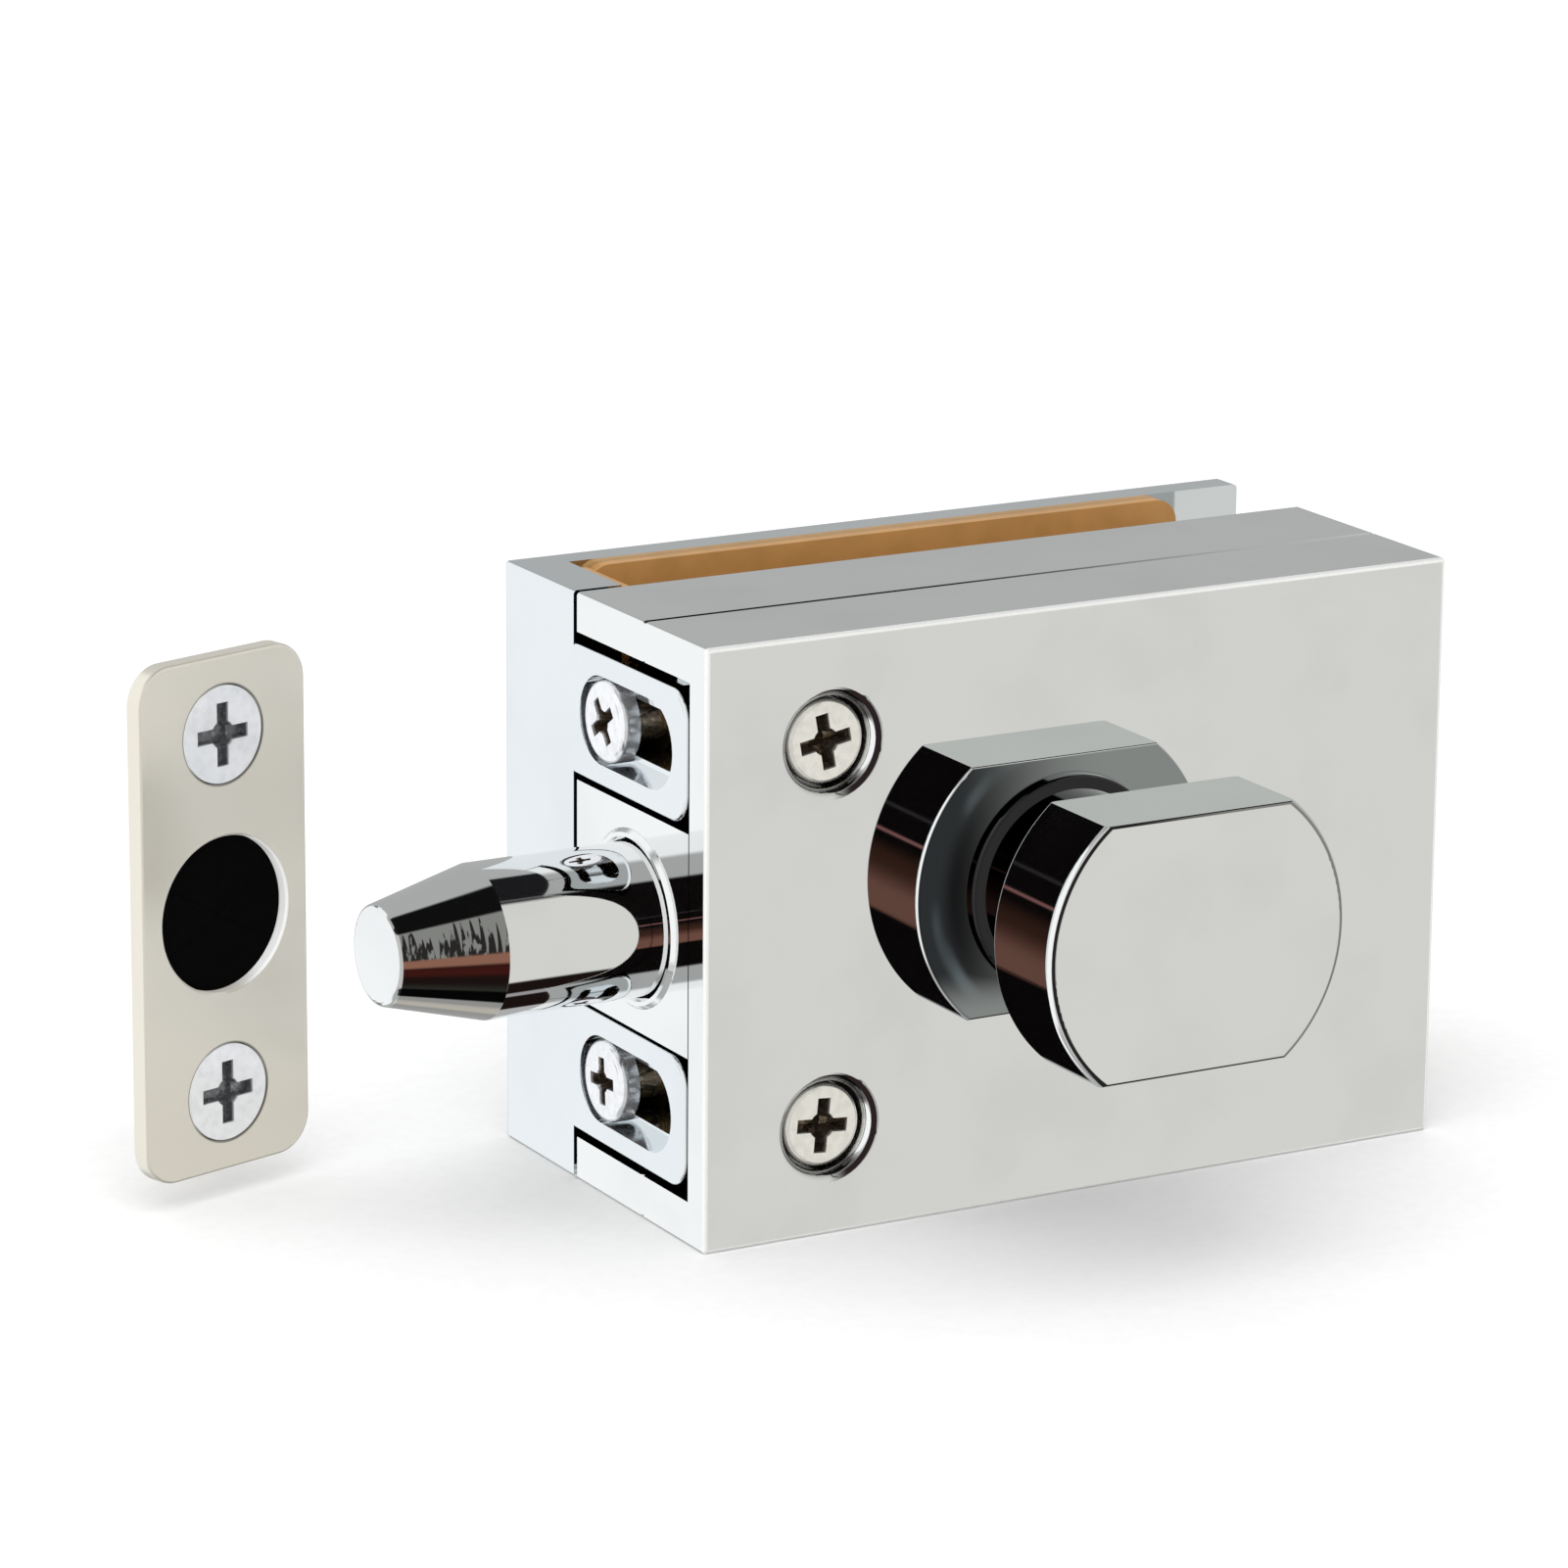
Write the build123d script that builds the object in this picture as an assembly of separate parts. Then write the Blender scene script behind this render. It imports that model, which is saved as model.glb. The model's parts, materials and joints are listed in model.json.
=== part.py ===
from build123d import *
import math
import os

# A deadbolt lock for a frameless glass shower door, with its strike plate.
# X runs from the bolt towards the glass, Y from the room side into the glass, Z is up. All sizes are in mm.
# The origin lies on the front face of the glass, level with the bolt and straight behind the knob.

# Outside of the body
body_left = -28.0
body_width = 70.0
body_height = 50.0
cover_depth = 10.5
housing_depth = 11.5
front_gasket_thickness = 0.8
glass_thickness = 8.0
rear_gasket_thickness = 1.2
rear_plate_thickness = 3.0
wall = 3.0
front_plate = 2.7
edge_round = 0.35
seam_groove = 0.25

# Press and running fits, as radial gaps
press_gap = 0.02
running_gap = 0.05

# Rear cover: its side wall, the two tabs that reach forward, and their stepped windows
side_wall = 4.4
side_wall_front = -0.2
tab_front = -19.5
tab_inner = 9.7
tab_outer = 20.7
tab_corner = 2.5
tab_edge_round = 0.3
tab_height = 15.2
tab_clearance = 0.4
window_front = -17.2
window_back = -1.3
window_half = 3.7
window_step = 1.6
slot_half = 2.4
slot_inset = 1.3
notch_inner = 9.3
notch_top = 21.7
notch_bottom = 21.3

# Gaskets
gasket_left = -22.4
gasket_right = 35.0
gasket_inset = 0.3
gasket_corner = 2.0
edge_strip = 1.0

# Deadbolt, its collar and its guide bush
bolt_radius = 6.35
bolt_y = -10.6
bolt_reach = 23.1
bolt_cone_length = 8.8
bolt_tip_radius = 4.05
bolt_tip_round = 0.5
bolt_tail = 16.0
bolt_flat_start = 4.5
bolt_flat_y = -14.6
bolt_groove_half = 1.6
bolt_groove_floor = 3.4
collar_radius = 7.4
collar_length = 2.8
collar_stand = 0.35
collar_gap = 0.15
guide_radius = 7.0
guide_end = -18.0

# Knob: two discs with flats above and below, a low collar and a neck
knob_z = 4.6
knob_radius = 13.55
knob_flat = 10.45
rosette_thickness = 8.4
knob_collar_radius = 9.0
knob_collar_length = 1.1
knob_neck_radius = 7.9
head_back_reach = 20.1
head_front_reach = 28.5
washer_gap = 0.3
head_rim_round = 0.6
rosette_rim_round = 0.3
knob_flat_round = 0.3
knob_edge_round = 0.3
grub_screw_reach = 4.4
grub_screw_radius = 2.0

# Spindle and its bush
spindle_radius = 4.0
spindle_end_radius = 3.0
spindle_end_length = 11.0
spindle_square_half = 2.5
bush_radius = 5.5
bush_flange_radius = 8.0
bush_flange = 1.0
ring_groove_depth = 0.9
ring_groove_front = -22.0
ring_groove_back = -21.0

# Rack and pinion: half a turn of the knob moves the bolt by ten teeth
gear_module = 0.7
pinion_teeth = 20
pressure_angle = math.radians(20)
tooth_thinning = 0.06
gear_front = -19.7
gear_back = -17.6
rack_first_tooth = -11
rack_last_tooth = 1
rack_bottom = -6.6
rack_end = 15.0
rack_foot_start = 5.0
rack_foot_top = -2.9
rack_screw_xs = (7.5, 12.5)
rack_screw_z = -4.4
rack_screw_radius = 1.0
pinion_screw_head = 3.2
pinion_screw_seat = -18.4

# Housing's inner ribs
rib_start = 9.0
rib_end = 15.0
rib_half = 9.5
corner_block_width = 5.7
corner_block_inner = 10.0
rack_channel_front = -17.3
rack_channel_top = -0.7

# Clamp screws, which press a steel bar against the glass through the front gasket
clamp_x = -16.7
clamp_z = 16.0
clamp_head_radius = 3.5
clamp_head_height = 2.4
clamp_head_depth = 0.85
clamp_bore_radius = 2.3
clamp_insert_length = 6.0
cup_radius = 4.8
cup_round = 1.05
clamp_bar_left = -18.9
clamp_bar_right = -7.0
clamp_bar_half = 20.6
clamp_bar_thickness = 1.6
clamp_bar_gap = 0.1
clamp_bar_corner = 1.5

# Other screws and pins
m4_radius = 1.95
m4_thread = 2.0
insert_radius = 3.0
tab_screw_y = -5.4
tab_screw_length = 6.0
tab_insert_length = 3.0
screw_boss_radius = 4.0
cover_screw_x = 34.0
cover_screw_z = 17.0
cover_screw_head = 3.0
cover_screw_radius = 1.45
cover_screw_length = 17.0
cover_thread_depth = 6.5
dowel_x = -13.4
dowel_z = 19.9
dowel_radius = 1.5
dowel_half_length = 3.0
stop_x = 5.0
stop_radius = 1.5
stop_front = -6.9

# Strike plate, which stands beside the bolt with its face turned towards the room
strike_centre = (-55.3, 8.5, -0.9)
strike_turn = 16.0
strike_width = 17.5
strike_height = 43.4
strike_thickness = 1.5
strike_corner = 3.2
strike_edge_round = 0.3
strike_hole_radius = 6.55
strike_hole_chamfer = 0.2
strike_screw_spacing = 30.2
strike_head_radius = 4.05
strike_head_slope = 0.55
strike_screw_length = 8.0
seal_radius = 7.6
seal_thickness = 0.5
seal_cuts = 3
seal_cut_half = 6.0
seal_cut_width = 0.12

# Places worked out from the sizes above
body_right = body_left + body_width
half_height = body_height / 2
inside_half = half_height - wall
housing_back = -front_gasket_thickness
seam_y = housing_back - housing_depth
front_y = seam_y - cover_depth
plate_inner = front_y + front_plate
back_wall_inner = housing_back - wall
rear_plate_front = glass_thickness + rear_gasket_thickness
rear_y = rear_plate_front + rear_plate_thickness
tab_inside = body_left + side_wall
housing_side = tab_inside + tab_clearance
gasket_half = half_height - gasket_inset
clamp_seat = front_y + clamp_head_depth + clamp_head_height
clamp_bar_front = housing_back - clamp_bar_thickness
bolt_tip = body_left - bolt_reach
knob_back = front_y - washer_gap
rosette_front = front_y - rosette_thickness
head_back = front_y - head_back_reach
head_front = front_y - head_front_reach
grub_screw_y = front_y - grub_screw_reach
pitch_radius = gear_module * pinion_teeth / 2
rack_pitch = math.pi * gear_module
bolt_travel = math.pi * pitch_radius
pitch_line = knob_z - pitch_radius
rack_top = pitch_line - 1.25 * gear_module
cover_screw_zs = (cover_screw_z, -cover_screw_z)
strike_screw_ys = (strike_screw_spacing / 2, -strike_screw_spacing / 2)


def block(x0, x1, y0, y1, z0, z1):
    """A box between two corners."""
    size = Box(x1 - x0, y1 - y0, z1 - z0)
    return Pos((x0 + x1) / 2, (y0 + y1) / 2, (z0 + z1) / 2) * size


def rod_x(radius, x0, x1, y, z):
    """A cylinder along X."""
    return Pos((x0 + x1) / 2, y, z) * Rot(0, 90, 0) * Cylinder(radius, x1 - x0)


def rod_y(radius, y0, y1, x, z):
    """A cylinder along Y."""
    return Pos(x, (y0 + y1) / 2, z) * Rot(90, 0, 0) * Cylinder(radius, y1 - y0)


def rod_z(radius, z0, z1, x, y):
    """A cylinder along Z."""
    return Pos(x, y, (z0 + z1) / 2) * Cylinder(radius, z1 - z0)


def turned_x(points, y, z):
    """A solid turned about X, from (x, radius) points."""
    return Pos(0, y, z) * revolve(make_face(Polyline(*points, close=True)), Axis.X)


def turned_y(points, x, z):
    """A solid turned about Y, from (radius, y) points."""
    return Pos(x, 0, z) * revolve(make_face(Polyline(*points, close=True)), Axis.Y)


def turned_z(points, y):
    """A solid turned about Z, from (radius, z) points."""
    return Pos(0, y, 0) * revolve(Plane.XZ * make_face(Polyline(*points, close=True)), Axis.Z)


def long_hole(x0, x1, y0, y1, half, z):
    """A slot cut through X, with round ends along Y."""
    middle = block(x0, x1, y0 + half, y1 - half, z - half, z + half)
    return middle + rod_x(half, x0, x1, y0 + half, z) + rod_x(half, x0, x1, y1 - half, z)


def cross_recess(span, arm, depth):
    """A cross-shaped driver recess that narrows downwards from the plane z = 0, deepest in its middle."""
    bar = extrude(Rectangle(span, arm), amount=-depth, taper=9)
    middle = extrude(Circle(arm), amount=-1.5 * depth, taper=15)
    return bar + Rot(0, 0, 90) * bar + middle


def machine_screw(head_radius, head_height, crown, length, recess):
    """An M4 screw with a rounded head. The head stands on z = 0 and the shank points down."""
    head = Pos(0, 0, head_height / 2) * Cylinder(head_radius, head_height)
    head = fillet(head.edges().sort_by(Axis.Z)[-1:], crown)
    head -= Pos(0, 0, head_height) * recess
    shank = Pos(0, 0, -length / 2) * Cylinder(m4_radius, length)
    shank = chamfer(shank.edges().sort_by(Axis.Z)[:1], 0.4)
    return head + shank


def flush_screw(head_radius, shank_radius, length, recess, head_slope=1.0):
    """A countersunk screw. The top of the head lies on z = 0 and the shank points down."""
    rim = 0.25
    point = 0.5
    cone = (head_radius - shank_radius) * head_slope
    points = [(0, 0), (head_radius, 0), (head_radius, -rim), (shank_radius, -rim - cone)]
    points += [(shank_radius, -length + point), (shank_radius - point, -length), (0, -length)]
    return turned_z(points, 0) - recess


def both_sides(shape):
    """The shape, and its mirror image below the bolt's level."""
    return [shape, mirror(shape, Plane.XY)]


def at_heights(shape, height):
    """The same shape above and below the bolt's level."""
    return [Pos(0, 0, height) * shape, Pos(0, 0, -height) * shape]


def clamp_bores(y0, y1, radius):
    return [rod_y(radius, y0, y1, clamp_x, sign * clamp_z) for sign in (1, -1)]


def cover_screw_rods(y0, y1, radius):
    return [rod_y(radius, y0, y1, cover_screw_x, z) for z in cover_screw_zs]


def dowel_holes(y0, y1):
    return [rod_y(dowel_radius + press_gap, y0, y1, dowel_x, z) for z in (dowel_z, -dowel_z)]


def corner_blocks(y0, y1):
    """Solid corners that carry the clamp screws and stand behind the tabs."""
    right = clamp_x + corner_block_width
    return both_sides(block(housing_side, right, y0, y1, corner_block_inner, inside_half))


def tab_spaces():
    """The two spaces that the tabs slide in, cut from the left side of the housing."""
    front = tab_front - 1
    back = housing_back + 1
    top = block(body_left - 1, housing_side, front, back, notch_inner, notch_top)
    bottom = block(body_left - 1, housing_side, front, back, -notch_bottom, -notch_inner)
    return top + bottom


def make_front_cover():
    shell = block(body_left, body_right, front_y, seam_y, -half_height, half_height)
    rim = shell.faces().sort_by(Axis.Y)[0].edges()
    upright = shell.edges().filter_by(Axis.Y)
    shell = fillet(rim + upright, edge_round)
    shell = chamfer(shell.faces().sort_by(Axis.Y)[-1].edges(), seam_groove)
    past_seam = seam_y + 1
    shell -= block(body_left + wall, body_right - wall, plate_inner, past_seam, -inside_half, inside_half)
    shell -= block(body_left - 1, body_left + wall + 1, plate_inner, past_seam, -notch_bottom, notch_top)
    shell += corner_blocks(plate_inner, seam_y)
    shell += cover_screw_rods(plate_inner, seam_y, screw_boss_radius)
    shell -= cover_screw_rods(seam_y - cover_thread_depth, past_seam, cover_screw_radius + running_gap)
    shell -= dowel_holes(seam_y - dowel_half_length - 0.2, past_seam)
    shell -= clamp_bores(front_y - 1, past_seam, clamp_bore_radius)
    shell -= clamp_bores(front_y - 1, clamp_seat, cup_radius - cup_round)
    lip = shell.edges().filter_by(GeomType.CIRCLE).group_by(Axis.Y)[0]
    shell = fillet(lip, cup_round)
    shell -= rod_y(bush_radius + press_gap, front_y - 1, plate_inner + 1, 0, knob_z)
    shell -= rod_y(bush_flange_radius + press_gap, front_y - 1, front_y + bush_flange, 0, knob_z)
    return shell


def make_housing_block():
    shell = block(body_left, body_right, seam_y, housing_back, -half_height, half_height)
    shell = fillet(shell.edges().filter_by(Axis.Y), edge_round)
    shell = chamfer(shell.faces().sort_by(Axis.Y)[0].edges(), seam_groove)
    before_seam = seam_y - 1
    past_back = housing_back + 1
    into_wall = back_wall_inner + 1
    inside_left = body_left + wall
    inside_right = body_right - wall
    shell -= block(inside_left, inside_right, before_seam, back_wall_inner, -inside_half, inside_half)
    shell -= tab_spaces()
    shell += corner_blocks(seam_y, into_wall)
    nose_front = plate_inner + 0.15
    collar_end = body_left + collar_length
    shell += block(body_left, guide_end, nose_front, into_wall, -notch_inner, notch_inner)
    channel_zs = (rack_bottom - 0.6, rack_channel_top)
    shell -= block(collar_end, guide_end + 1, nose_front - 1, rack_channel_front, *channel_zs)
    shell += block(rib_start, rib_end, bolt_flat_y + 0.4, into_wall, -rib_half, rib_half)
    shell += cover_screw_rods(seam_y, into_wall, screw_boss_radius)
    shell -= rod_x(collar_radius + press_gap, body_left - 1, collar_end, bolt_y, 0)
    shell -= rod_x(guide_radius + press_gap, collar_end - 1, guide_end + 1, bolt_y, 0)
    shell -= rod_x(bolt_radius + running_gap, rib_start - 1, rib_end + 1, bolt_y, 0)
    shell -= clamp_bores(before_seam, past_back, clamp_bore_radius)
    shell -= clamp_bores(before_seam, seam_y + clamp_insert_length, insert_radius + press_gap)
    pocket_left = clamp_bar_left - clamp_bar_gap
    pocket_right = clamp_bar_right + clamp_bar_gap
    pocket_half = clamp_bar_half + clamp_bar_gap
    shell -= block(pocket_left, pocket_right, clamp_bar_front, past_back, -pocket_half, pocket_half)
    insert_end = housing_side + tab_insert_length + 0.1
    for z in (tab_height, -tab_height):
        shell -= rod_x(insert_radius + press_gap, tab_inside, insert_end, tab_screw_y, z)
    shell -= cover_screw_rods(before_seam, past_back, cover_screw_radius + 0.15)
    sink_radius = cover_screw_head + 0.2
    sink_bottom = housing_back - 2.0
    sink = [(0, housing_back + 0.1), (sink_radius, housing_back + 0.1), (sink_radius, housing_back - 0.3)]
    sink += [(cover_screw_radius, sink_bottom), (0, sink_bottom)]
    shell -= [turned_y(sink, cover_screw_x, z) for z in cover_screw_zs]
    shell -= dowel_holes(before_seam, seam_y + dowel_half_length + 0.2)
    shell -= rod_y(stop_radius + press_gap, back_wall_inner - 1, past_back, stop_x, 0)
    return shell


def make_rear_cover():
    plate = block(body_left, body_right, rear_plate_front, rear_y, -half_height, half_height)
    side = block(body_left, tab_inside, side_wall_front, rear_y, -half_height, half_height)
    cover = plate + side
    along_y = cover.edges().filter_by(Axis.Y)
    long_edges = along_y.filter_by(lambda e: abs(abs(e.center().Z) - half_height) < 0.01)
    outer = [e for e in long_edges if e.center().X < body_left + 1 or e.center().X > body_right - 1]
    rim = cover.faces().sort_by(Axis.Y)[-1].edges()
    cover = fillet(outer + list(rim), edge_round)
    tab = block(body_left, tab_inside, tab_front, side_wall_front + 1, tab_inner, tab_outer)
    tab = fillet(tab.edges().filter_by(Axis.X).group_by(Axis.Y)[0], tab_corner)
    outline = tab.faces().sort_by(Axis.X)[0].edges()
    tab = fillet(outline.filter_by(lambda e: e.center().Y < side_wall_front), tab_edge_round)
    cover += both_sides(tab)
    step_x = body_left + window_step
    slot_front = window_front + slot_inset
    slot_back = window_back - slot_inset
    for z in (tab_height, -tab_height):
        cover -= long_hole(body_left - 1, step_x, window_front, window_back, window_half, z)
        cover -= long_hole(step_x - 1, tab_inside + 1, slot_front, slot_back, slot_half, z)
    return cover


def gasket(y0, y1):
    """A sheet gasket that covers one face of the glass."""
    pad = block(gasket_left, gasket_right, y0, y1, -gasket_half, gasket_half)
    return fillet(pad.edges().filter_by(Axis.Y), gasket_corner)


def make_front_gasket():
    return gasket(housing_back, 0)


def make_rear_gasket():
    return gasket(glass_thickness, rear_plate_front)


def make_edge_gasket():
    return block(tab_inside, tab_inside + edge_strip, 0.1, glass_thickness - 0.1, -gasket_half, gasket_half)


def make_clamp_bar():
    half = clamp_bar_half
    bar = block(clamp_bar_left, clamp_bar_right, clamp_bar_front, housing_back, -half, half)
    return fillet(bar.edges().filter_by(Axis.Y), clamp_bar_corner)


def make_bolt_collar():
    inner = bolt_radius + collar_gap
    start = body_left - collar_stand
    end = body_left + collar_length
    points = [(start, inner + 0.25), (start + 0.25, inner), (end, inner), (end, collar_radius)]
    points += [(body_left, collar_radius), (start, collar_radius - 0.3)]
    return turned_x(points, bolt_y, 0)


def make_guide_bush():
    start = body_left + collar_length
    ring = rod_x(guide_radius, start, guide_end, bolt_y, 0)
    return ring - rod_x(bolt_radius + running_gap, start - 1, guide_end + 1, bolt_y, 0)


def make_spindle_bush():
    bore = spindle_radius + running_gap
    flange_back = front_y + bush_flange
    points = [(bore, front_y), (bush_flange_radius, front_y), (bush_flange_radius, flange_back)]
    points += [(bush_radius, flange_back), (bush_radius, plate_inner), (bore, plate_inner)]
    return turned_y(points, 0, knob_z)


def make_clamp_screws():
    length = clamp_bar_front - running_gap - clamp_seat
    screw = machine_screw(clamp_head_radius, clamp_head_height, 0.5, length, cross_recess(4.6, 1.15, 1.7))
    screws = []
    for z, spin in ((clamp_z, 10), (-clamp_z, -5)):
        screws.append(Pos(clamp_x, clamp_seat, z) * Rot(90, 0, 0) * Rot(0, 0, spin) * screw)
    return screws


def make_tab_screws():
    seat = body_left + window_step
    screw = machine_screw(3.5, 1.7, 0.7, tab_screw_length, cross_recess(4.0, 1.0, 1.2))
    screws = []
    for z, spin in ((tab_height, 35), (-tab_height, 4)):
        screws.append(Pos(seat, tab_screw_y, z) * Rot(0, -90, 0) * Rot(0, 0, spin) * screw)
    return screws


def make_tab_inserts():
    end = housing_side + tab_insert_length
    ring = rod_x(insert_radius, housing_side, end, tab_screw_y, 0)
    ring -= rod_x(m4_thread, housing_side - 1, end + 1, tab_screw_y, 0)
    return at_heights(ring, tab_height)


def make_clamp_inserts():
    end = seam_y + clamp_insert_length
    ring = rod_y(insert_radius, seam_y, end, clamp_x, 0)
    ring -= rod_y(m4_thread, seam_y - 1, end + 1, clamp_x, 0)
    return at_heights(ring, clamp_z)


def make_cover_screws():
    screw = flush_screw(cover_screw_head, cover_screw_radius, cover_screw_length, cross_recess(3.2, 0.8, 1.0))
    placed = Pos(cover_screw_x, housing_back - 0.2, 0) * Rot(-90, 0, 0) * screw
    return at_heights(placed, cover_screw_z)


def make_dowels():
    pin = rod_y(dowel_radius, seam_y - dowel_half_length, seam_y + dowel_half_length, dowel_x, 0)
    return at_heights(chamfer(pin.edges(), 0.3), dowel_z)


def make_stop_pin():
    pin = rod_y(stop_radius, stop_front, housing_back, stop_x, 0)
    return chamfer(pin.edges(), 0.3)


def knob_disc(y0, y1, rim_round):
    """One of the knob's discs: turned first, then milled flat above and below."""
    disc = rod_y(knob_radius, y0, y1, 0, knob_z)
    disc = fillet(disc.faces().sort_by(Axis.Y)[0].edges(), rim_round)
    disc = fillet(disc.faces().sort_by(Axis.Y)[-1].edges(), knob_edge_round)
    slab = block(-2 * knob_radius, 2 * knob_radius, y0, y1 + 1, knob_z - knob_flat, knob_z + knob_flat)
    front_edges = slab.faces().sort_by(Axis.Y)[0].edges().filter_by(Axis.X)
    return disc & fillet(front_edges, knob_flat_round)


def make_turn_knob():
    knob = knob_disc(rosette_front, knob_back, rosette_rim_round)
    knob += knob_disc(head_front, head_back, head_rim_round)
    collar = rod_y(knob_collar_radius, rosette_front - knob_collar_length, rosette_front, 0, knob_z)
    knob += fillet(collar.edges().group_by(Axis.Y)[0], knob_edge_round)
    knob += rod_y(knob_neck_radius, head_back, rosette_front, 0, knob_z)
    knob -= rod_y(spindle_end_radius, knob_back - spindle_end_length - 1, knob_back + 1, 0, knob_z)
    knob -= rod_z(grub_screw_radius, knob_z - knob_flat - 1, knob_z, 0, grub_screw_y)
    return knob


def make_spindle():
    end_radius = spindle_end_radius - press_gap
    neck_radius = spindle_radius - ring_groove_depth
    tip = knob_back - spindle_end_length
    shoulder = gear_front - running_gap
    points = [(0, tip), (end_radius, tip), (end_radius, knob_back), (spindle_radius, knob_back)]
    points += [(spindle_radius, ring_groove_front), (neck_radius, ring_groove_front)]
    points += [(neck_radius, ring_groove_back), (spindle_radius, ring_groove_back)]
    points += [(spindle_radius, shoulder), (0, shoulder)]
    shaft = turned_y(points, 0, knob_z)
    seat = spindle_end_radius - 0.5
    shaft -= block(-4, 4, grub_screw_y - 2.8, grub_screw_y + 2.8, knob_z - 4, knob_z - seat)
    half = spindle_square_half
    square_end = pinion_screw_seat - running_gap
    shaft += block(-half, half, shoulder - 0.15, square_end, knob_z - half, knob_z + half)
    return shaft - rod_y(1.25, shoulder - 3.65, square_end + 1, 0, knob_z)


def make_knob_grub_screw():
    bottom = knob_z - 8.5
    top = knob_z - spindle_end_radius + 0.5
    screw = rod_z(grub_screw_radius - press_gap, bottom, top, 0, grub_screw_y)
    screw = chamfer(screw.edges().group_by(Axis.Z)[0], 0.3)
    socket = extrude(RegularPolygon(1.15, 6), amount=2.2)
    return screw - Pos(0, grub_screw_y, bottom - 0.1) * socket


def make_knob_washer():
    ring = rod_y(9.6, knob_back, front_y - running_gap, 0, knob_z)
    return ring - rod_y(spindle_radius + 0.3, knob_back - 1, front_y + 1, 0, knob_z)


def make_o_ring():
    middle = (ring_groove_front + ring_groove_back) / 2
    return Pos(0, middle, knob_z) * Rot(90, 0, 0) * Torus(3.55, 0.44)


def involute(angle):
    return math.tan(angle) - angle


def flank_half_angle(radius):
    """Half of the tooth's angle at a radius of the pinion."""
    base = pitch_radius * math.cos(pressure_angle)
    at_pitch = math.pi / (2 * pinion_teeth) - tooth_thinning / pitch_radius
    local = math.acos(min(1.0, base / radius))
    return at_pitch + involute(pressure_angle) - involute(local)


def make_pinion():
    root = pitch_radius - 1.25 * gear_module
    base = pitch_radius * math.cos(pressure_angle)
    tip = pitch_radius + gear_module
    radii = [root] + [base + (tip - base) * i / 5 for i in range(6)]
    points = []
    for tooth in range(pinion_teeth):
        middle = -math.pi / 2 + (tooth + 0.5) * 2 * math.pi / pinion_teeth
        rising = [(r, middle - flank_half_angle(r)) for r in radii]
        falling = [(r, middle + flank_half_angle(r)) for r in reversed(radii)]
        points += [(r * math.cos(a), r * math.sin(a)) for r, a in rising + falling]
    outline = make_face(Polyline(*points, close=True))
    gear = Pos(0, gear_back, knob_z) * Rot(90, 0, 0) * extrude(outline, amount=gear_back - gear_front)
    half = spindle_square_half + running_gap
    gear -= block(-half, half, gear_front - 1, gear_back + 1, knob_z - half, knob_z + half)
    return gear - rod_y(pinion_screw_head + 0.1, pinion_screw_seat, gear_back + 1, 0, knob_z)


def make_pinion_screw():
    top = gear_back - running_gap
    screw = rod_y(pinion_screw_head, pinion_screw_seat, top, 0, knob_z)
    screw += rod_y(1.2, pinion_screw_seat - 4.5, pinion_screw_seat + 0.1, 0, knob_z)
    slot_half_width = 0.4
    slot = block(-4, 4, top - 0.35, top + 1, knob_z - slot_half_width, knob_z + slot_half_width)
    return screw - slot


def make_deadbolt():
    cone_end = bolt_tip + bolt_cone_length
    points = [(bolt_tip, 0), (bolt_tip, bolt_tip_radius), (cone_end, bolt_radius), (bolt_tail, bolt_radius)]
    bolt = turned_x(points + [(bolt_tail, 0)], bolt_y, 0)
    bolt = fillet(bolt.edges().filter_by(GeomType.CIRCLE).group_by(Axis.X)[0], bolt_tip_round)
    bolt = chamfer(bolt.edges().filter_by(GeomType.CIRCLE).group_by(Axis.X)[-1], 0.5)
    bolt -= block(bolt_flat_start, bolt_tail + 1, bolt_y - 8, bolt_flat_y, -8, 8)
    half = bolt_groove_half
    slack = 0.05
    groove_left = stop_x - bolt_travel - slack
    groove_right = stop_x + slack
    floor = bolt_y + bolt_groove_floor
    bolt -= block(groove_left, groove_right, floor, 0, -half, half)
    bolt -= [rod_y(half, floor, 0, x, 0) for x in (groove_left, groove_right)]
    for x in rack_screw_xs:
        bolt -= rod_y(rack_screw_radius, bolt_flat_y - 1, bolt_flat_y + 5.5, x, rack_screw_z)
    return bolt


def make_bolt_rack():
    half = rack_pitch / 4 - tooth_thinning
    slope = math.tan(pressure_angle)
    foot_half = half + (pitch_line - rack_top) * slope
    tip_half = half - gear_module * slope
    tip_z = pitch_line + gear_module
    start = rack_first_tooth * rack_pitch - foot_half
    points = [(start, rack_bottom)]
    for tooth in range(rack_first_tooth, rack_last_tooth + 1):
        x = tooth * rack_pitch
        points += [(x - foot_half, rack_top), (x - tip_half, tip_z)]
        points += [(x + tip_half, tip_z), (x + foot_half, rack_top)]
    points += [(rack_end, rack_top), (rack_end, rack_bottom)]
    outline = make_face(Polyline(*points, close=True))
    rack = Pos(0, gear_back, 0) * Rot(90, 0, 0) * extrude(outline, amount=gear_back - gear_front)
    rack += block(rack_foot_start, rack_end, gear_back, bolt_flat_y, rack_bottom, rack_foot_top)
    hole = rack_screw_radius + 0.05
    sink_bottom = gear_front + 0.9
    sink = [(0, gear_front - 0.1), (1.6, gear_front - 0.1), (1.6, gear_front + 0.2)]
    sink += [(1.0, sink_bottom), (0, sink_bottom)]
    for x in rack_screw_xs:
        rack -= rod_y(hole, gear_front - 1, bolt_flat_y + 1, x, rack_screw_z)
        rack -= turned_y(sink, x, rack_screw_z)
    return rack


def make_rack_screws():
    screw = flush_screw(1.5, rack_screw_radius - running_gap, 9.8, cross_recess(1.7, 0.4, 0.5))
    return [Pos(x, gear_front + 0.05, rack_screw_z) * Rot(90, 0, 0) * screw for x in rack_screw_xs]


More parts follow.
